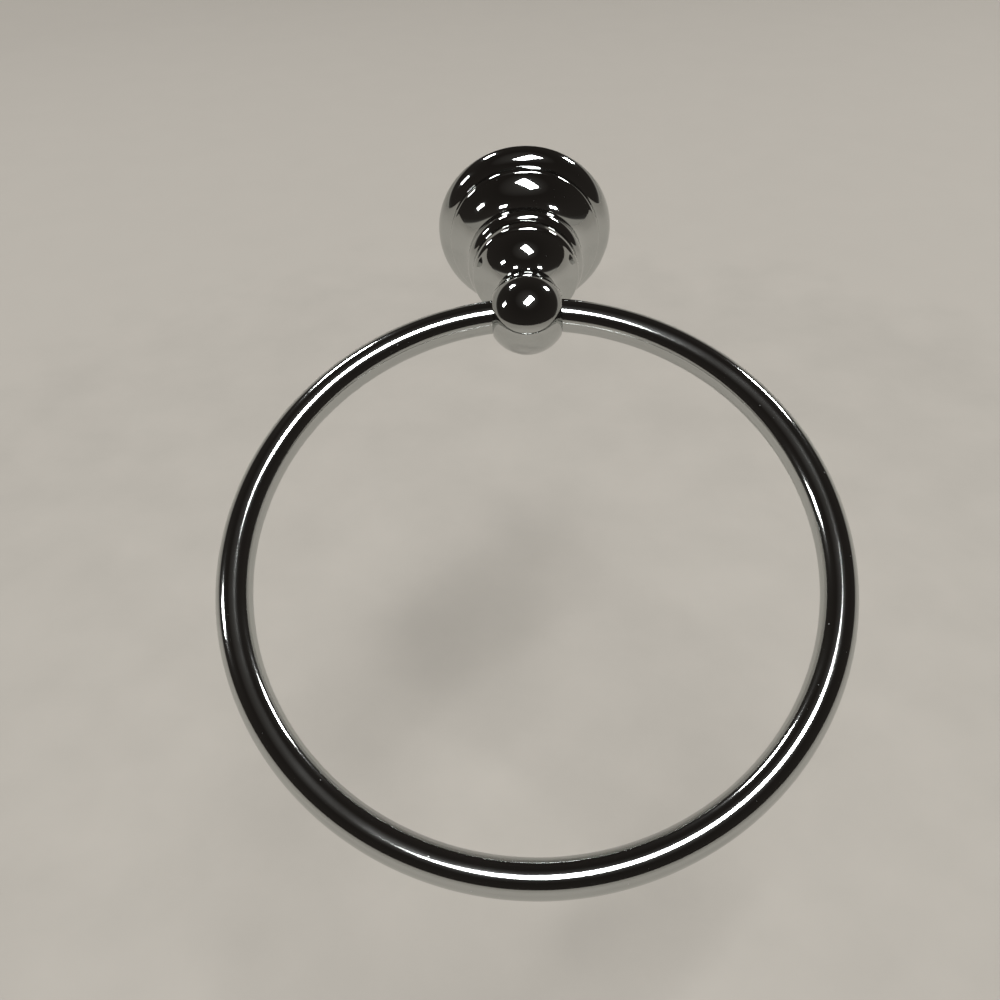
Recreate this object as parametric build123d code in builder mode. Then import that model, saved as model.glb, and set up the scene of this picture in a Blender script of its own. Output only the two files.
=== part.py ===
"""Towel ring: a turned wall flange, a waisted post ending in a ball, and a bar ring that swings in it."""
import os
from math import cos, degrees, radians, sin, sqrt

from build123d import *

# Driving sizes, in millimetres. The wall is the plane Y = 0, the post points along -Y, and Z is up.
ball_out = 55.0
ball_radius = 11.7

bar_radius = 4.76
ring_radius = 77.6
ring_droop = 24.0
ring_end_gap = 1.6
swing_clearance = 0.3
bore_mouth_ease = 0.4

flange_radius = 28.1
rim_round = 6.5
rim_foot = 0.6
rim_step_radius = 24.0
rim_step_top = 8.8
rim_step_edge = 1.5
rim_wall = 0.9
flange_throat_radius = 17.0
flange_cove = 13.0
flange_shell = 2.6

collar_out = 25.0
collar_radius = 18.0
collar_round = 3.0
collar_foot = 0.45
collar_step_radius = 16.3
collar_step_rise = 6.6
collar_step_edge = 1.5
post_throat_radius = 7.95
post_cove = 11.0
neck_bead_radius = 8.8
neck_bead_out = 46.0
neck_bead_half = 0.95

web_thickness = 3.6
socket_wall = 2.5
recess_radius = 22.6
recess_depth = 2.0
channel_floor = 1.2

spigot_radius = 8.0
spigot_height = 1.2

bracket_thickness = 1.6
bracket_fit = 0.3
bracket_land = 8.6
puck_top = 8.6
puck_undercut = 1.2
puck_chamfer = 0.8
wall_screw_hole = 2.25
wall_screw_head = 3.9
wall_screw_seat = 1.1

post_screw_radius = 2.5
post_screw_hole = 2.75
post_screw_head = 4.6
post_screw_head_height = 3.2
post_screw_head_round = 1.2
post_screw_length = 16.0
post_screw_point = 0.6
post_screw_slot = 1.1
post_screw_recess = 1.5
post_hole_spare = 2.0

grub_out = 5.0
grub_radius = 2.0
grub_boss = 3.0
grub_boss_root = 0.6
grub_tip = 1.2
grub_key = 1.0
grub_key_depth = 2.2
grub_below_rim = 1.4
grub_reach = 0.2

thread_fit = 0.05
seat_fit = 0.15


def tangent_cove(edge_centre, edge_out, edge, cove_centre, cove):
    """A cove that runs on from a rounded edge: its throat's distance out, then where it starts."""
    throat_out = edge_out + sqrt((cove + edge) ** 2 - (cove_centre - edge_centre) ** 2)
    share = edge / (cove + edge)
    start_radius = edge_centre + share * (cove_centre - edge_centre)
    start_out = edge_out + share * (throat_out - edge_out)
    return throat_out, start_radius, start_out


# Sizes that follow from the ones above.
hub_y = -ball_out
socket_radius = recess_radius - bracket_land
socket_outer = socket_radius + socket_wall
puck_radius = socket_radius - bracket_fit
bracket_radius = recess_radius - bracket_fit
wall_screw_spacing = 2 * bracket_radius - bracket_land
web_back = collar_out - web_thickness

rim_centre = flange_radius - rim_round
rim_top_out = rim_foot + sqrt(rim_round**2 - (rim_step_radius - rim_centre) ** 2)
flange_cove_centre = flange_throat_radius + flange_cove
flange_throat_out, flange_cove_start, flange_cove_out = tangent_cove(
    rim_step_radius - rim_step_edge, rim_step_top, rim_step_edge, flange_cove_centre, flange_cove
)
flange_top_radius = flange_cove_centre - sqrt(flange_cove**2 - (collar_out - flange_throat_out) ** 2)

collar_roll_out = collar_out + collar_foot
collar_centre = collar_radius - collar_round
collar_roll_end = collar_roll_out + sqrt(collar_round**2 - (collar_step_radius - collar_centre) ** 2)
collar_step_top = collar_out + collar_step_rise
post_cove_centre = post_throat_radius + post_cove
post_throat_out, post_cove_start, post_cove_out = tangent_cove(
    collar_step_radius - collar_step_edge, collar_step_top, collar_step_edge, post_cove_centre, post_cove
)
bead_start_out = neck_bead_out - neck_bead_half
bead_start_radius = post_cove_centre - sqrt(post_cove**2 - (bead_start_out - post_throat_out) ** 2)
bead_end_out = neck_bead_out + neck_bead_half
bead_end_radius = sqrt(ball_radius**2 - (ball_out - bead_end_out) ** 2)

inner_cove = flange_cove + flange_shell
channel_top_radius = socket_outer + channel_floor
channel_top_out = flange_throat_out - sqrt(inner_cove**2 - (flange_cove_centre - channel_top_radius) ** 2)
channel_mouth_radius = flange_cove_centre - sqrt(inner_cove**2 - (flange_throat_out - rim_step_top) ** 2)

grub_rim_radius = rim_centre + sqrt(rim_round**2 - (grub_out - rim_foot) ** 2)
grub_head_z = -(grub_rim_radius - grub_below_rim)
grub_tip_z = -(puck_radius - grub_reach)
boss_foot_z = -(recess_radius + grub_boss_root)
boss_top_z = -(socket_radius + grub_boss_root)

ring_out_y = -cos(radians(ring_droop))
ring_out_z = -sin(radians(ring_droop))
ring_y = hub_y + ring_radius * ring_out_y
ring_z = ring_radius * ring_out_z
bore_reach = ball_radius + 1.0
bore_end = ring_radius + swing_clearance - sqrt((ring_radius - bar_radius) ** 2 - bore_reach**2)
end_gap_angle = degrees(ring_end_gap / ring_radius)

# Flange: a hollow-backed turned casting with a socket for the wall bracket and a boss for the grub screw.
with BuildPart() as flange:
    with BuildSketch(Plane.XY):
        with BuildLine():
            Line((0, 0), (flange_radius - rim_foot / 2, 0))
            Line((flange_radius - rim_foot / 2, 0), (flange_radius, -rim_foot))
            RadiusArc((flange_radius, -rim_foot), (rim_step_radius, -rim_top_out), rim_round)
            Line((rim_step_radius, -rim_top_out), (rim_step_radius, -rim_step_top))
            RadiusArc(
                (rim_step_radius, -rim_step_top),
                (flange_cove_start, -flange_cove_out),
                rim_step_edge,
            )
            ThreePointArc(
                (flange_cove_start, -flange_cove_out),
                (flange_throat_radius, -flange_throat_out),
                (flange_top_radius, -collar_out),
            )
            Line((flange_top_radius, -collar_out), (0, -collar_out))
            Line((0, -collar_out), (0, 0))
        make_face()
    revolve(axis=Axis.Y)
    with BuildSketch(Plane.XY):
        with BuildLine():
            Line((socket_outer, 0), (recess_radius, 0))
            Line((recess_radius, 0), (recess_radius, -rim_top_out + rim_wall))
            Line((recess_radius, -rim_top_out + rim_wall), (channel_mouth_radius, -rim_step_top))
            RadiusArc(
                (channel_mouth_radius, -rim_step_top),
                (channel_top_radius, -channel_top_out),
                -inner_cove,
            )
            Line((channel_top_radius, -channel_top_out), (socket_outer, -channel_top_out))
            Line((socket_outer, -channel_top_out), (socket_outer, 0))
        make_face()
    revolve(axis=Axis.Y, mode=Mode.SUBTRACT)
    with BuildSketch(Plane.XZ):
        Circle(recess_radius)
    extrude(amount=recess_depth, mode=Mode.SUBTRACT)
    with BuildSketch(Plane.XY.offset(boss_foot_z)):
        with Locations((0, -grub_out)):
            Circle(grub_boss)
    extrude(amount=boss_top_z - boss_foot_z)
    with BuildSketch(Plane.XZ):
        Circle(socket_radius)
    extrude(amount=web_back, mode=Mode.SUBTRACT)
    with BuildSketch(Plane.XZ.offset(web_back)):
        Circle(post_screw_hole)
    extrude(amount=web_thickness, mode=Mode.SUBTRACT)
    with BuildSketch(Plane.XZ.offset(collar_out - spigot_height - seat_fit)):
        Circle(spigot_radius + seat_fit)
    extrude(amount=spigot_height + seat_fit, mode=Mode.SUBTRACT)
    with BuildSketch(Plane.XY.offset(-flange_radius)):
        with Locations((0, -grub_out)):
            Circle(grub_radius + thread_fit)
    extrude(amount=flange_radius - puck_radius + 1.0, mode=Mode.SUBTRACT)

# Post: collar, cove, neck, bead and ball in one turned casting, bored across for the ring.
with BuildPart() as post:
    with BuildSketch(Plane.XY):
        with BuildLine():
            Line((0, -collar_out), (collar_radius - collar_foot, -collar_out))
            Line((collar_radius - collar_foot, -collar_out), (collar_radius, -collar_roll_out))
            RadiusArc(
                (collar_radius, -collar_roll_out),
                (collar_step_radius, -collar_roll_end),
                collar_round,
            )
            Line((collar_step_radius, -collar_roll_end), (collar_step_radius, -collar_step_top))
            RadiusArc(
                (collar_step_radius, -collar_step_top),
                (post_cove_start, -post_cove_out),
                collar_step_edge,
            )
            ThreePointArc(
                (post_cove_start, -post_cove_out),
                (post_throat_radius, -post_throat_out),
                (bead_start_radius, -bead_start_out),
            )
            ThreePointArc(
                (bead_start_radius, -bead_start_out),
                (neck_bead_radius, -neck_bead_out),
                (bead_end_radius, -bead_end_out),
            )
            ThreePointArc(
                (bead_end_radius, -bead_end_out),
                (ball_radius, -ball_out),
                (0, -ball_out - ball_radius),
            )
            Line((0, -ball_out - ball_radius), (0, -collar_out))
        make_face()
    revolve(axis=Axis.Y)
    with BuildSketch(Plane.XZ.offset(collar_out - spigot_height)):
        Circle(spigot_radius)
    extrude(amount=spigot_height)
    with BuildSketch(Plane.XZ.offset(collar_out - spigot_height)):
        Circle(post_screw_radius + thread_fit)
    extrude(amount=post_screw_length - web_thickness + spigot_height + post_hole_spare, mode=Mode.SUBTRACT)
    with BuildSketch(Plane.XY):
        with BuildLine():
            Line((-bore_reach, hub_y), (-bore_reach, hub_y + bore_end))
            ThreePointArc(
                (-bore_reach, hub_y + bore_end),
                (0, hub_y + bar_radius + swing_clearance),
                (bore_reach, hub_y + bore_end),
            )
            Line((bore_reach, hub_y + bore_end), (bore_reach, hub_y))
            Line((bore_reach, hub_y), (-bore_reach, hub_y))
        make_face()
    revolve(axis=Axis((0, hub_y, 0), (1, 0, 0)), mode=Mode.SUBTRACT)
    mouth_x = ball_radius * 0.7
    bore_mouths = post.edges().filter_by(lambda e: abs(e.center(CenterOf.BOUNDING_BOX).X) > mouth_x)
    fillet(bore_mouths, bore_mouth_ease)

# Post screw: a round-headed machine screw from behind the flange's web into the post.
with BuildPart() as post_screw:
    with BuildSketch(Plane.XZ.offset(web_back - post_screw_head_height)):
        Circle(post_screw_head)
    extrude(amount=post_screw_head_height)
    head_edge = post_screw.edges().group_by(Axis.Y)[-1]
    fillet(head_edge, post_screw_head_round)
    with BuildSketch(Plane.XZ.offset(web_back)):
        Circle(post_screw_radius)
    extrude(amount=post_screw_length)
    tip_edge = post_screw.edges().group_by(Axis.Y)[0]
    chamfer(tip_edge, post_screw_point)
    with BuildSketch(Plane.XZ.offset(web_back - post_screw_head_height)):
        Rectangle(post_screw_head, post_screw_slot)
        Rectangle(post_screw_slot, post_screw_head)
    extrude(amount=post_screw_recess, mode=Mode.SUBTRACT)

# Wall bracket: a thin disc with two countersunk wall screw holes and an undercut puck that holds the flange.
with BuildPart() as wall_bracket:
    with BuildSketch(Plane.XY):
        with BuildLine():
            Polyline(
                (0, 0),
                (bracket_radius, 0),
                (bracket_radius, -bracket_thickness),
                (puck_radius - puck_undercut, -bracket_thickness),
                (puck_radius, -puck_top + puck_chamfer),
                (puck_radius - puck_chamfer, -puck_top),
                (0, -puck_top),
                (0, 0),
            )
        make_face()
    revolve(axis=Axis.Y)
    with BuildSketch(Plane.XZ):
        with Locations((-wall_screw_spacing / 2, 0), (wall_screw_spacing / 2, 0)):
            Circle(wall_screw_hole)
    extrude(amount=bracket_thickness, mode=Mode.SUBTRACT)
    for screw_x in (-wall_screw_spacing / 2, wall_screw_spacing / 2):
        with BuildSketch(Plane.XZ.offset(bracket_thickness)):
            with Locations((screw_x, 0)):
                Circle(wall_screw_head)
        extrude(amount=-wall_screw_seat, taper=45, mode=Mode.SUBTRACT)

# Grub screw: headless, keyed at its outer end, bearing on the puck's undercut from below.
with BuildPart() as grub_screw:
    with BuildSketch(Plane.XY.offset(grub_head_z)):
        with Locations((0, -grub_out)):
            Circle(grub_radius)
    extrude(amount=grub_tip_z - grub_head_z)
    tip_rim = grub_screw.edges().group_by(Axis.Z)[-1]
    chamfer(tip_rim, grub_radius - grub_tip)
    with BuildSketch(Plane.XY.offset(grub_head_z)):
        with Locations((0, -grub_out)):
            RegularPolygon(grub_key, 6, major_radius=False)
    extrude(amount=grub_key_depth, mode=Mode.SUBTRACT)

# Ring: a round bar bent to a full circle, its two ends meeting inside the ball.
ring_axis = Axis((0, ring_y, ring_z), (0, ring_out_z, -ring_out_y))
to_hub = Vector(0, -ring_out_y, -ring_out_z).rotate(ring_axis, end_gap_angle / 2)
bar_start = Plane(
    origin=Vector(0, ring_y, ring_z) + to_hub * ring_radius,
    x_dir=to_hub,
    z_dir=Vector(*ring_axis.direction).cross(to_hub),
)
with BuildPart() as ring:
    with BuildSketch(bar_start):
        Circle(bar_radius)
    revolve(axis=ring_axis, revolution_arc=360 - end_gap_angle)

os.makedirs("parts", exist_ok=True)
flange.part.label = "flange"
export_step(flange.part, "parts/flange.step")
post.part.label = "post"
export_step(post.part, "parts/post.step")
post_screw.part.label = "post_screw"
export_step(post_screw.part, "parts/post_screw.step")
wall_bracket.part.label = "wall_bracket"
export_step(wall_bracket.part, "parts/wall_bracket.step")
grub_screw.part.label = "grub_screw"
export_step(grub_screw.part, "parts/grub_screw.step")
ring.part.label = "ring"
export_step(ring.part, "parts/ring.step")
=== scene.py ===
import math

import bmesh
import bpy
from mathutils import Matrix, Vector


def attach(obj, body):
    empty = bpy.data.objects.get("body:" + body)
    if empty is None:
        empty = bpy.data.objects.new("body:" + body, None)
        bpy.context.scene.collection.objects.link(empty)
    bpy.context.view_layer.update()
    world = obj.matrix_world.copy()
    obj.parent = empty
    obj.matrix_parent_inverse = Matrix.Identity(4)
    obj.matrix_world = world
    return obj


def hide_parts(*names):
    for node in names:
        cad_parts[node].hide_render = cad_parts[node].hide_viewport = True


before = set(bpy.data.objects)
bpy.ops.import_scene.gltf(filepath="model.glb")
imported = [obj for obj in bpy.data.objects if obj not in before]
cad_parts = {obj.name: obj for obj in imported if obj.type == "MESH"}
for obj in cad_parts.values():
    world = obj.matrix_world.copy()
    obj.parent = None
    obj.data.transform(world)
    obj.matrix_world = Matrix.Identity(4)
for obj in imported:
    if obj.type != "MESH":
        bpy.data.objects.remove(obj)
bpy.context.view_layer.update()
scene = bpy.context.scene

# Sizes of the object in millimetres, as the solids have them. Out is the distance from the wall, along -Y.
MM = 0.001
BALL_OUT = 55.0
BALL_RADIUS = 11.7

BAR_RADIUS = 4.76
RING_RADIUS = 77.6
RING_DROOP = math.radians(24.0)
RING_END_GAP = 1.6
SWING_CLEARANCE = 0.3
BORE_MOUTH_EASE = 0.4

FLANGE_RADIUS = 28.1
RIM_ROUND = 6.5
RIM_FOOT = 0.6
RIM_STEP_RADIUS = 24.0
RIM_STEP_TOP = 8.8
RIM_STEP_EDGE = 1.5
RIM_WALL = 0.9
FLANGE_THROAT_RADIUS = 17.0
FLANGE_COVE = 13.0
FLANGE_SHELL = 2.6

COLLAR_OUT = 25.0
COLLAR_RADIUS = 18.0
COLLAR_ROUND = 3.0
COLLAR_FOOT = 0.45
COLLAR_STEP_RADIUS = 16.3
COLLAR_STEP_RISE = 6.6
COLLAR_STEP_EDGE = 1.5
POST_THROAT_RADIUS = 7.95
POST_COVE = 11.0
NECK_BEAD_RADIUS = 8.8
NECK_BEAD_OUT = 46.0
NECK_BEAD_HALF = 0.95
POST_FOOT_OUT = 48.0
POST_FOOT_RADIUS = 1.0
POST_FOOT_SLOPE = 1.5

WEB_THICKNESS = 3.6
SOCKET_RADIUS = 14.0
SOCKET_WALL = 2.5
RECESS_RADIUS = 22.6
RECESS_DEPTH = 2.0
CHANNEL_FLOOR = 1.2
SPIGOT_RADIUS = 8.0
SPIGOT_HEIGHT = 1.2
SEAT_FIT = 0.15
POST_SCREW_HOLE = 2.75
POST_TAPPED_HOLE = 2.55
POST_TAPPED_END = 39.4
GRUB_OUT = 5.0
GRUB_HOLE = 2.05
GRUB_HOLE_FOOT = -29.0
GRUB_HOLE_TOP = -12.7
GRUB_BOSS = 3.0
GRUB_BOSS_ROOT = 0.6

# Corners of the meshes: lengths in millimetres, shares of a side, and angles
CORNER_ROUND = 0.2
CORNER_SHARE = 0.45
CORNER_TURN = math.radians(18)
SUPPORT = 0.5
SUPPORT_SHARE = 0.4
SAME_POINT = 1e-6
HARD_EDGE = math.radians(35)
BOSS_RELIEF = 0.03

# Fineness of the meshes: steps in a whole turn, then steps along each curve
LATHE_STEPS = 256
BALL_STEPS = 192
SMALL_STEPS = 48
RING_STEPS = 480
BAR_STEPS = 56
CORNER_STEPS = 5
RIM_ROLL_STEPS = 36
COLLAR_ROLL_STEPS = 24
EDGE_STEPS = 14
COVE_STEPS = 52
CHANNEL_STEPS = 12
BEAD_STEPS = 8
BALL_ARC_STEPS = 120
MOUTH_STEPS = 8
BORE_STEPS = 24
FLOOR_STEPS = 24


# Profiles: lists of (radius, out) points
def leg(slant, other):
    """The third side of a right-angled triangle, from its longest side and another."""
    return math.sqrt(slant * slant - other * other)


def line(a, b):
    """A straight run with a point near each end, so that rounded corners don't bend its shading."""
    span = Vector(b) - Vector(a)
    near = min(SUPPORT / span.length, SUPPORT_SHARE)
    return [a, tuple(Vector(a) + span * near), tuple(Vector(b) - span * near), b]


def lines(*corners):
    """Straight runs from corner to corner."""
    return join(*(line(a, b) for a, b in zip(corners, corners[1:])))


def arc(a, b, radius, steps):
    """Points from a to b on a circle: a positive radius turns left on the way, a negative one right."""
    start, end = Vector(a), Vector(b)
    chord = end - start
    side = Vector((-chord.y, chord.x)).normalized() * math.copysign(1, radius)
    centre = (start + end) / 2 + side * leg(radius, chord.length / 2)
    first = start - centre
    sweep = math.copysign(first.angle(end - centre), radius)
    points = []
    for k in range(steps + 1):
        turn = sweep * k / steps
        points.append(tuple(centre + Matrix.Rotation(turn, 2) @ first))
    return points


def bead(a, top, b, steps):
    """Points from a over top to b on the circle through all three."""
    rise = Vector(top) - Vector(a)
    fall = Vector(b) - Vector(top)
    radius = rise.length * fall.length * (rise + fall).length / (2 * abs(rise.cross(fall)))
    return join(arc(a, top, radius, steps), arc(top, b, radius, steps))


def join(*runs):
    """One list of points from several runs, each point once."""
    points = []
    for run in runs:
        for point in run:
            if not points or (Vector(point) - Vector(points[-1])).length > SAME_POINT:
                points.append(point)
    return points


def soften(points):
    """The same profile with each hard corner a little rounded."""
    soft = [points[0]]
    for a, p, b in zip(points, points[1:], points[2:]):
        before = Vector(p) - Vector(a)
        after = Vector(b) - Vector(p)
        turn = before.angle(after)
        if turn < CORNER_TURN:
            soft.append(p)
            continue
        longest = CORNER_SHARE * min(before.length, after.length)
        cut = min(CORNER_ROUND * math.tan(turn / 2), longest)
        start = Vector(p) - before.normalized() * cut
        end = Vector(p) + after.normalized() * cut
        for k in range(CORNER_STEPS + 1):
            t = k / CORNER_STEPS
            soft.append(tuple((1 - t) ** 2 * start + 2 * t * (1 - t) * Vector(p) + t * t * end))
    soft.append(points[-1])
    return soft


def tangent_cove(edge_centre, edge_out, edge, cove_centre, cove):
    """How far out the throat of a cove lies that runs on from a rounded edge, and where the cove starts."""
    throat_out = edge_out + leg(cove + edge, cove_centre - edge_centre)
    share = edge / (cove + edge)
    start = Vector((edge_centre, edge_out)).lerp(Vector((cove_centre, throat_out)), share)
    return throat_out, tuple(start)


# Meshes
def finish_mesh(data):
    """Faces turned outward, smooth but for the hard edges."""
    work = bmesh.new()
    work.from_mesh(data)
    bmesh.ops.recalc_face_normals(work, faces=work.faces)
    work.to_mesh(data)
    work.free()
    data.shade_smooth()
    data.set_sharp_from_angle(angle=HARD_EDGE)


def mesh_object(name, verts, faces):
    """A mesh object from points in millimetres."""
    data = bpy.data.meshes.new(name)
    data.from_pydata([Vector(v) * MM for v in verts], [], faces)
    data.validate()
    finish_mesh(data)
    obj = bpy.data.objects.new(name, data)
    scene.collection.objects.link(obj)
    return obj


def carve(obj, tool, operation):
    """Joins tool to obj, or cuts it out, and takes the tool away."""
    cut = obj.modifiers.new("carve", "BOOLEAN")
    cut.operation = operation
    cut.solver = "EXACT"
    cut.object = tool
    data = bpy.data.meshes.new_from_object(obj.evaluated_get(bpy.context.evaluated_depsgraph_get()))
    obj.modifiers.clear()
    obj.data = data
    finish_mesh(data)
    bpy.data.objects.remove(tool)


def strips(rows, steps, closed):
    """Four-sided faces between neighbouring rows of points, each row a circle of that many steps."""
    faces = []
    for i in range(rows if closed else rows - 1):
        j = (i + 1) % rows
        for k in range(steps):
            m = (k + 1) % steps
            faces.append((i * steps + k, i * steps + m, j * steps + m, j * steps + k))
    return faces


def cap(row, steps):
    """One face over a whole row of points."""
    return tuple(row * steps + k for k in range(steps))


def spin(profile, place, steps):
    """A profile's points turned about an axis: place(radius, along, cos, sin) gives each one."""
    verts = []
    for radius, along in profile:
        for k in range(steps):
            turn = 2 * math.pi * k / steps
            verts.append(place(radius, along, math.cos(turn), math.sin(turn)))
    return verts


def about_wall_axis(radius, out, c, s):
    """A point about the post's axis, which stands out from the wall."""
    return (radius * c, -out, radius * s)


def about_swing_axis(radius, x, c, s):
    """A point about the axis that the ring swings on, across the ball."""
    return (x, radius * c - BALL_OUT, radius * s)


def about_grub_axis(radius, z, c, s):
    """A point about the grub screw's upright axis."""
    return (radius * c, radius * s - GRUB_OUT, z)


def about_floor_axis(radius, z, c, s):
    """A point about the upright axis through the origin."""
    return (radius * c, radius * s, z)


def peg(name, radius, foot, top):
    """A plain round tool on the grub screw's axis, to join to the flange or cut out of it."""
    verts = spin([(radius, foot), (radius, top)], about_grub_axis, SMALL_STEPS)
    faces = strips(2, SMALL_STEPS, False) + [cap(0, SMALL_STEPS), cap(1, SMALL_STEPS)]
    return mesh_object(name, verts, faces)


# Flange: rolled rim, step and cove, and a hollow back with a socket and a boss for the grub screw
def flange_profile():
    """The flange's section, closed, from the lip of its back recess round the outside and back inside."""
    cove_centre = FLANGE_THROAT_RADIUS + FLANGE_COVE
    edge_centre = RIM_STEP_RADIUS - RIM_STEP_EDGE
    throat_out, cove_start = tangent_cove(
        edge_centre, RIM_STEP_TOP, RIM_STEP_EDGE, cove_centre, FLANGE_COVE
    )
    top = (cove_centre - leg(FLANGE_COVE, COLLAR_OUT - throat_out), COLLAR_OUT)
    lip = (RECESS_RADIUS, 0)
    back = (FLANGE_RADIUS - RIM_FOOT / 2, 0)
    rim_start = (FLANGE_RADIUS, RIM_FOOT)
    rim_out = RIM_FOOT + leg(RIM_ROUND, RIM_STEP_RADIUS - FLANGE_RADIUS + RIM_ROUND)
    rim_end = (RIM_STEP_RADIUS, rim_out)
    step = (RIM_STEP_RADIUS, RIM_STEP_TOP)
    seat_radius = SPIGOT_RADIUS + SEAT_FIT
    seat_out = COLLAR_OUT - SPIGOT_HEIGHT - SEAT_FIT
    web_back = COLLAR_OUT - WEB_THICKNESS
    socket_outer = SOCKET_RADIUS + SOCKET_WALL
    inner_cove = FLANGE_COVE + FLANGE_SHELL
    channel_radius = socket_outer + CHANNEL_FLOOR
    channel_out = throat_out - leg(inner_cove, cove_centre - channel_radius)
    channel_end = (channel_radius, channel_out)
    channel_mouth = (cove_centre - leg(inner_cove, throat_out - RIM_STEP_TOP), RIM_STEP_TOP)
    recess_corner = (RECESS_RADIUS, rim_out - RIM_WALL)
    seat_and_socket = lines(
        top,
        (seat_radius, COLLAR_OUT),
        (seat_radius, seat_out),
        (POST_SCREW_HOLE, seat_out),
        (POST_SCREW_HOLE, web_back),
        (SOCKET_RADIUS, web_back),
        (SOCKET_RADIUS, RECESS_DEPTH),
        (socket_outer, RECESS_DEPTH),
        (socket_outer, channel_out),
        channel_end,
    )
    outline = join(
        lines(lip, back, rim_start),
        arc(rim_start, rim_end, RIM_ROUND, RIM_ROLL_STEPS),
        line(rim_end, step),
        arc(step, cove_start, RIM_STEP_EDGE, EDGE_STEPS),
        arc(cove_start, top, -FLANGE_COVE, COVE_STEPS),
        seat_and_socket,
        arc(channel_end, channel_mouth, inner_cove, CHANNEL_STEPS),
        lines(channel_mouth, recess_corner, lip),
    )
    return soften(outline[:-1])


profile = flange_profile()
flange_faces = strips(len(profile), LATHE_STEPS, True)
flange = mesh_object("flange_turned", spin(profile, about_wall_axis, LATHE_STEPS), flange_faces)
# The boss is a hair slimmer than the solid's, which just touches the plane of the recess's floor
boss_radius = GRUB_BOSS - BOSS_RELIEF
boss_foot = -(RECESS_RADIUS + GRUB_BOSS_ROOT)
boss_top = -(SOCKET_RADIUS + GRUB_BOSS_ROOT)
carve(flange, peg("boss", boss_radius, boss_foot, boss_top), "UNION")
carve(flange, peg("hole", GRUB_HOLE, GRUB_HOLE_FOOT, GRUB_HOLE_TOP), "DIFFERENCE")


# Post: collar, step, cove, neck and bead, its foot inside a ball that is bored across
def collar_profile():
    """The post's section from the end of its tapped hole round the outside to its foot."""
    cove_centre = POST_THROAT_RADIUS + POST_COVE
    edge_centre = COLLAR_STEP_RADIUS - COLLAR_STEP_EDGE
    step_out = COLLAR_OUT + COLLAR_STEP_RISE
    throat_out, cove_start = tangent_cove(
        edge_centre, step_out, COLLAR_STEP_EDGE, cove_centre, POST_COVE
    )
    spigot_out = COLLAR_OUT - SPIGOT_HEIGHT
    roll_start = (COLLAR_RADIUS, COLLAR_OUT + COLLAR_FOOT)
    roll_out = roll_start[1] + leg(COLLAR_ROUND, COLLAR_STEP_RADIUS - COLLAR_RADIUS + COLLAR_ROUND)
    roll_end = (COLLAR_STEP_RADIUS, roll_out)
    step = (COLLAR_STEP_RADIUS, step_out)
    bead_from = NECK_BEAD_OUT - NECK_BEAD_HALF
    bead_to = NECK_BEAD_OUT + NECK_BEAD_HALF
    bead_start = (cove_centre - leg(POST_COVE, bead_from - throat_out), bead_from)
    bead_top = (NECK_BEAD_RADIUS, NECK_BEAD_OUT)
    bead_end = (leg(BALL_RADIUS, BALL_OUT - bead_to), bead_to)
    foot = (bead_end[0] - POST_FOOT_SLOPE, POST_FOOT_OUT)
    back_of_post = lines(
        (POST_TAPPED_HOLE, POST_TAPPED_END),
        (POST_TAPPED_HOLE, spigot_out),
        (SPIGOT_RADIUS, spigot_out),
        (SPIGOT_RADIUS, COLLAR_OUT),
        (COLLAR_RADIUS - COLLAR_FOOT, COLLAR_OUT),
        roll_start,
    )
    outline = join(
        back_of_post,
        arc(roll_start, roll_end, COLLAR_ROUND, COLLAR_ROLL_STEPS),
        line(roll_end, step),
        arc(step, cove_start, COLLAR_STEP_EDGE, EDGE_STEPS),
        arc(cove_start, bead_start, -POST_COVE, COVE_STEPS),
        bead(bead_start, bead_top, bead_end, BEAD_STEPS),
        lines(bead_end, foot, (POST_FOOT_RADIUS, POST_FOOT_OUT)),
    )
    return soften(outline)


def ball_profile():
    """The ball's section about the swing axis: radius from it, then place along it."""
    bore_centre = RING_RADIUS + SWING_CLEARANCE
    bore = RING_RADIUS - BAR_RADIUS
    inner_ball = BALL_RADIUS - BORE_MOUTH_EASE
    inner_bore = bore - BORE_MOUTH_EASE
    ease_radius = (inner_ball ** 2 - inner_bore ** 2 + bore_centre ** 2) / (2 * bore_centre)
    ease_x = leg(inner_ball, ease_radius)
    ball_edge = Vector((ease_radius, ease_x)) * (BALL_RADIUS / inner_ball)
    bore_scale = bore / inner_bore
    bore_edge = Vector((bore_centre + (ease_radius - bore_centre) * bore_scale, ease_x * bore_scale))
    flip = Vector((1, -1))
    outline = join(
        arc(ball_edge * flip, ball_edge, BALL_RADIUS, BALL_ARC_STEPS),
        arc(ball_edge, bore_edge, BORE_MOUTH_EASE, MOUTH_STEPS),
        arc(bore_edge, bore_edge * flip, bore, BORE_STEPS),
        arc(bore_edge * flip, ball_edge * flip, BORE_MOUTH_EASE, MOUTH_STEPS),
    )
    return outline[:-1]


profile = collar_profile()
post_verts = spin(profile, about_wall_axis, LATHE_STEPS)
post_faces = strips(len(profile), LATHE_STEPS, False)
post_faces += [cap(0, LATHE_STEPS), cap(len(profile) - 1, LATHE_STEPS)]
profile = ball_profile()
ball_base = len(post_verts)
post_verts += spin(profile, about_swing_axis, BALL_STEPS)
for face in strips(len(profile), BALL_STEPS, True):
    post_faces.append(tuple(ball_base + v for v in face))
post = mesh_object("post_turned", post_verts, post_faces)

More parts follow.
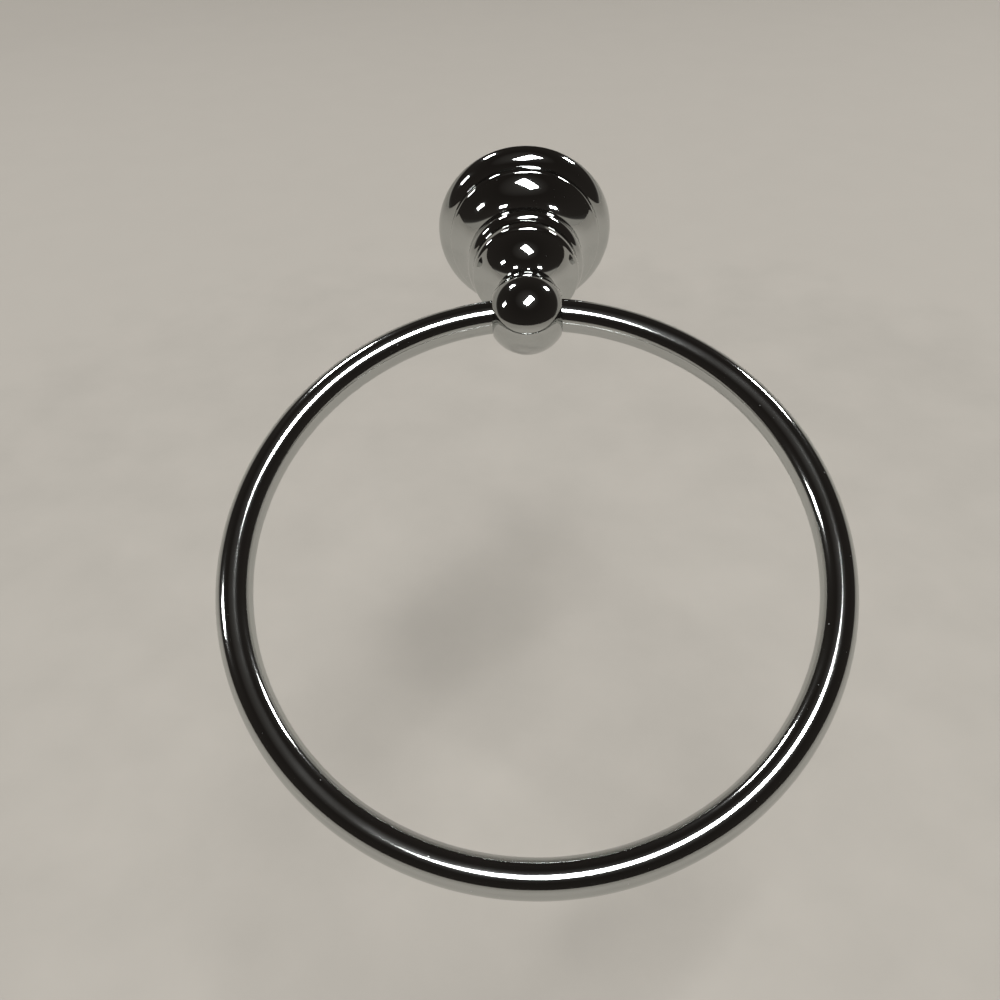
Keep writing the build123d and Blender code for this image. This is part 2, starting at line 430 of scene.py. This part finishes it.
# Ring: a round bar bent to a circle, open inside the ball
outward = Vector((0, -math.cos(RING_DROOP), -math.sin(RING_DROOP)))
across = Vector((1, 0, 0))
normal = across.cross(outward)
ring_centre = Vector((0, -BALL_OUT, 0)) + outward * RING_RADIUS
end_gap = RING_END_GAP / RING_RADIUS
ring_verts = []
for i in range(RING_STEPS + 1):
    turn = end_gap / 2 + (2 * math.pi - end_gap) * i / RING_STEPS
    ray = across * math.sin(turn) - outward * math.cos(turn)
    for k in range(BAR_STEPS):
        roll = 2 * math.pi * k / BAR_STEPS
        bar = ray * (RING_RADIUS + BAR_RADIUS * math.cos(roll)) + normal * (BAR_RADIUS * math.sin(roll))
        ring_verts.append(ring_centre + bar)
ring_faces = strips(RING_STEPS + 1, BAR_STEPS, False)
ring_faces += [cap(0, BAR_STEPS), cap(RING_STEPS, BAR_STEPS)]
ring = mesh_object("ring_bent", ring_verts, ring_faces)

for piece, body, node in (
    (flange, "mount_and_post", "flange"),
    (post, "mount_and_post", "post"),
    (ring, "ring", "ring"),
):
    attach(piece, body)
    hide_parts(node)


# Materials
def material(name):
    """A new material with its nodes, its links and its shader."""
    mat = bpy.data.materials.new(name)
    mat.use_nodes = True
    tree = mat.node_tree
    return mat, tree.nodes, tree.links, tree.nodes["Principled BSDF"]


def object_coords(nodes, links, stretch=(1, 1, 1)):
    """The object's own coordinates, scaled along each axis."""
    coords = nodes.new("ShaderNodeTexCoord")
    scaled = nodes.new("ShaderNodeMapping")
    scaled.inputs["Scale"].default_value = stretch
    links.new(coords.outputs["Object"], scaled.inputs["Vector"])
    return scaled.outputs["Vector"]


def noise(nodes, links, coords, scale, detail):
    """A cloudy value: scale is its fineness, detail how many finer layers it has."""
    tex = nodes.new("ShaderNodeTexNoise")
    tex.inputs["Scale"].default_value = scale
    tex.inputs["Detail"].default_value = detail
    links.new(coords, tex.inputs["Vector"])
    return tex.outputs["Fac"]


def ramp(nodes, links, source, stops):
    """A colour from a value: stops are (value, colour) in rising order."""
    node = nodes.new("ShaderNodeValToRGB")
    marks = node.color_ramp.elements
    marks.remove(marks[0])
    for k, (position, colour) in enumerate(stops):
        mark = marks.new(position) if k else marks[0]
        mark.position = position
        mark.color = (*colour, 1)
    links.new(source, node.inputs["Fac"])
    return node.outputs["Color"]


def spread(nodes, links, source, from_range, to_range):
    """A value taken from one range to another."""
    node = nodes.new("ShaderNodeMapRange")
    node.inputs["From Min"].default_value, node.inputs["From Max"].default_value = from_range
    node.inputs["To Min"].default_value, node.inputs["To Max"].default_value = to_range
    links.new(source, node.inputs["Value"])
    return node.outputs["Result"]


def maths(nodes, links, operation, *values):
    """A maths node: each value is a number or another node's output."""
    node = nodes.new("ShaderNodeMath")
    node.operation = operation
    for socket, value in zip(node.inputs, values):
        if isinstance(value, (int, float)):
            socket.default_value = value
        else:
            links.new(value, socket)
    return node.outputs["Value"]


CLOUD_STOPS = (0.3, 0.7)
CLOUD_DETAIL = 4
HAZE_FINENESS = 2.7
HAZE_DETAIL = 6
HAZE_SPREAD = (0.35, 0.75)
GRAIN_FINENESS = 30
GRAIN_DETAIL = 3
GRAIN_HEIGHT = 0.0002
DUST_CELLS = 625.0
DUST_PICK = (0.72, 1.0)
DUST_SIZE = 0.09
DUST_ROUGHNESS = 0.36


def dust(nodes, links, coords):
    """The roughness of a few tiny specks, and nothing between them."""
    cells = nodes.new("ShaderNodeTexVoronoi")
    cells.inputs["Scale"].default_value = DUST_CELLS
    links.new(coords, cells.inputs["Vector"])
    parts = nodes.new("ShaderNodeSeparateColor")
    links.new(cells.outputs["Color"], parts.inputs["Color"])
    size = spread(nodes, links, parts.outputs["Red"], DUST_PICK, (0.0, DUST_SIZE))
    speck = maths(nodes, links, "LESS_THAN", cells.outputs["Distance"], size)
    return maths(nodes, links, "MULTIPLY", speck, DUST_ROUGHNESS)


def metal(name, dark, light, roughness, patch, relief, stretch=(1, 1, 1), dusty=False):
    """Metal with faint cloudy differences in colour and gloss, and a very fine surface."""
    mat, nodes, links, bsdf = material(name)
    bsdf.inputs["Metallic"].default_value = 1.0
    coords = object_coords(nodes, links, stretch)
    cloud = noise(nodes, links, coords, patch, CLOUD_DETAIL)
    colour = ramp(nodes, links, cloud, list(zip(CLOUD_STOPS, (dark, light))))
    links.new(colour, bsdf.inputs["Base Color"])
    haze = noise(nodes, links, coords, patch * HAZE_FINENESS, HAZE_DETAIL)
    gloss = spread(nodes, links, haze, HAZE_SPREAD, roughness)
    if dusty:
        gloss = maths(nodes, links, "MAXIMUM", gloss, dust(nodes, links, coords))
    links.new(gloss, bsdf.inputs["Roughness"])
    grain = noise(nodes, links, coords, patch * GRAIN_FINENESS, GRAIN_DETAIL)
    bump = nodes.new("ShaderNodeBump")
    bump.inputs["Strength"].default_value = relief
    bump.inputs["Distance"].default_value = GRAIN_HEIGHT
    links.new(grain, bump.inputs["Height"])
    links.new(bump.outputs["Normal"], bsdf.inputs["Normal"])
    return mat


def paint(obj, mat):
    """Gives an object one material."""
    obj.data.materials.clear()
    obj.data.materials.append(mat)


# Chrome on what shows, a little duller on the bar
CHROME_DARK = (0.505, 0.52, 0.51)
CHROME_LIGHT = (0.55, 0.565, 0.555)
CHROME_PATCH = 22.0
CHROME_RELIEF = 0.004
TURNED_ROUGHNESS = (0.04, 0.065)
BAR_ROUGHNESS = (0.07, 0.1)


def chrome(name, roughness):
    """Chrome plate of that roughness, with a little dust on it."""
    return metal(name, CHROME_DARK, CHROME_LIGHT, roughness, CHROME_PATCH, CHROME_RELIEF, dusty=True)


turned_chrome = chrome("chrome_plate", TURNED_ROUGHNESS)
bar_chrome = chrome("chrome_bar", BAR_ROUGHNESS)
paint(flange, turned_chrome)
paint(post, turned_chrome)
paint(ring, bar_chrome)

# Zinc plate with the streaks of rolling, and plain steel screws
FINE_PATCH = 160.0
ZINC_DARK = (0.42, 0.43, 0.44)
ZINC_LIGHT = (0.56, 0.57, 0.58)
ZINC_ROUGHNESS = (0.36, 0.55)
ZINC_RELIEF = 0.12
ZINC_STREAKS = (1.0, 1.0, 0.08)
STEEL_DARK = (0.30, 0.30, 0.31)
STEEL_LIGHT = (0.42, 0.42, 0.43)
STEEL_ROUGHNESS = (0.28, 0.42)
STEEL_RELIEF = 0.1
zinc = metal("zinc_plate", ZINC_DARK, ZINC_LIGHT, ZINC_ROUGHNESS, FINE_PATCH, ZINC_RELIEF, ZINC_STREAKS)
steel = metal("screw_steel", STEEL_DARK, STEEL_LIGHT, STEEL_ROUGHNESS, FINE_PATCH, STEEL_RELIEF)
paint(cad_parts["wall_bracket"], zinc)
paint(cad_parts["post_screw"], steel)
paint(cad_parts["grub_screw"], steel)

# Floor: a round pale sheet below the hanging ring, curving up far out towards the horizon, in millimetres
FLOOR_LEVEL = -260.0
FLOOR_FLAT = 1300.0
FLOOR_CURVE = 900.0
FLOOR_LIFT = 230.0
FLOOR_ROUGHNESS = 0.9
MOTTLE_FINENESS = 26.0
MOTTLE_DETAIL = 6
MOTTLE_SHARE = 0.12
FAR_RANGE = (0.5, 2.2)
PALE_DARK = (0.395, 0.37, 0.33)
PALE_LIGHT = (0.435, 0.407, 0.363)
PALE_FAR = (0.575, 0.538, 0.48)
PALE_STOPS = [(0.03, PALE_DARK), (0.1, PALE_LIGHT), (1.0, PALE_FAR)]


def floor_material():
    """Pale and faintly mottled, paler far out where less light falls on it: FAR_RANGE is in metres."""
    mat, nodes, links, bsdf = material("pale_floor")
    bsdf.inputs["Roughness"].default_value = FLOOR_ROUGHNESS
    coords = object_coords(nodes, links)
    length = nodes.new("ShaderNodeVectorMath")
    length.operation = "LENGTH"
    links.new(coords, length.inputs["Vector"])
    far = spread(nodes, links, length.outputs["Value"], FAR_RANGE, (0.0, 1.0))
    mottle = noise(nodes, links, coords, MOTTLE_FINENESS, MOTTLE_DETAIL)
    shade = maths(nodes, links, "MULTIPLY_ADD", mottle, MOTTLE_SHARE, far)
    links.new(ramp(nodes, links, shade, PALE_STOPS), bsdf.inputs["Base Color"])
    return mat


floor_edge = (FLOOR_FLAT + FLOOR_CURVE, FLOOR_LEVEL + FLOOR_LIFT)
floor_bend = (FLOOR_CURVE ** 2 + FLOOR_LIFT ** 2) / (2 * FLOOR_LIFT)
profile = arc((FLOOR_FLAT, FLOOR_LEVEL), floor_edge, floor_bend, FLOOR_STEPS)
floor_faces = strips(len(profile), LATHE_STEPS, False) + [cap(0, LATHE_STEPS)]
floor = mesh_object("floor", spin(profile, about_floor_axis, LATHE_STEPS), floor_faces)
paint(floor, floor_material())

# World: pale around the floor, higher up behind the object, and dark above like an unlit room
SKY_LEAN = math.radians(17)
SKY_PALE = [(0.0, (0.345, 0.324, 0.29)), (0.036, (0.05, 0.046, 0.042))]
SKY_DARK = [(0.12, (0.028, 0.024, 0.021)), (0.85, (0.018, 0.015, 0.013)), (1.0, (0.05, 0.045, 0.041))]
world = bpy.data.worlds.new("room")
scene.world = world
world.use_nodes = True
sky_nodes, sky_links = world.node_tree.nodes, world.node_tree.links
way = sky_nodes.new("ShaderNodeTexCoord")
height = sky_nodes.new("ShaderNodeVectorMath")
height.operation = "DOT_PRODUCT"
height.inputs[1].default_value = (0, -math.sin(SKY_LEAN), math.cos(SKY_LEAN))
sky_links.new(way.outputs["Generated"], height.inputs[0])
sky = ramp(sky_nodes, sky_links, height.outputs["Value"], SKY_PALE + SKY_DARK)
sky_links.new(sky, sky_nodes["Background"].inputs["Color"])


# Lights: one long soft panel overhead and three small ones around it, in metres from the ball
def facing(place, right, back):
    """A matrix at place, its Z axis along back and its X axis as near to right as it can be."""
    z = Vector(back).normalized()
    x = Vector(right)
    x = (x - z * x.dot(z)).normalized()
    return Matrix.Translation(place) @ Matrix((x, z.cross(x), z)).transposed().to_4x4()


def panel(name, direction, distance, long_way, size, power):
    """A rectangular soft light aimed at the ball, its long side along long_way."""
    data = bpy.data.lights.new(name, "AREA")
    data.shape = "RECTANGLE"
    data.size, data.size_y = size
    data.energy = power
    obj = bpy.data.objects.new(name, data)
    scene.collection.objects.link(obj)
    place = Vector((0, -BALL_OUT * MM, 0)) + Vector(direction).normalized() * distance
    obj.matrix_world = facing(place, long_way, direction)


OVERHEAD_WAY = (0.089, -0.363, 0.94)
OVERHEAD_DISTANCE = 2.0
OVERHEAD_LONG_WAY = (0.63, 0.78, 0)
OVERHEAD_SIZE = (1.0, 0.49)
OVERHEAD_POWER = 42
SMALL_SIZE = (0.36, 0.24)
FAR_LEFT_WAY = (-0.445, 0.60, 0.665)
FAR_RIGHT_WAY = (0.61, 0.56, 0.56)
FAR_DISTANCE = 2.2
FAR_LONG_WAY = (1, 0, 0)
FAR_POWER = 13
LEFT_WAY = (-0.88, -0.02, 0.475)
LEFT_DISTANCE = 2.0
LEFT_LONG_WAY = (0, 0, 1)
LEFT_POWER = 6
panel("overhead", OVERHEAD_WAY, OVERHEAD_DISTANCE, OVERHEAD_LONG_WAY, OVERHEAD_SIZE, OVERHEAD_POWER)
panel("far_left", FAR_LEFT_WAY, FAR_DISTANCE, FAR_LONG_WAY, SMALL_SIZE, FAR_POWER)
panel("far_right", FAR_RIGHT_WAY, FAR_DISTANCE, FAR_LONG_WAY, SMALL_SIZE, FAR_POWER)
panel("left", LEFT_WAY, LEFT_DISTANCE, LEFT_LONG_WAY, SMALL_SIZE, LEFT_POWER)

# Camera at the photograph's viewing angle: place and near limit in metres, sensor and lens in millimetres
CAMERA_PLACE = (-0.0018, -0.32386, 0.15857)
CAMERA_RIGHT = (0.9994, 0.0026, -0.0339)
CAMERA_BACK = (0.024, -0.7609, 0.6484)
CAMERA_SENSOR = 36.0
CAMERA_LENS = 38.12
CAMERA_NEAR = 0.01
camera_data = bpy.data.cameras.new("camera")
camera_data.sensor_width = CAMERA_SENSOR
camera_data.lens = CAMERA_LENS
camera_data.clip_start = CAMERA_NEAR
camera = bpy.data.objects.new("camera", camera_data)
scene.collection.objects.link(camera)
camera.matrix_world = facing(CAMERA_PLACE, CAMERA_RIGHT, CAMERA_BACK)
scene.camera = camera

scene.view_settings.view_transform = "Standard"
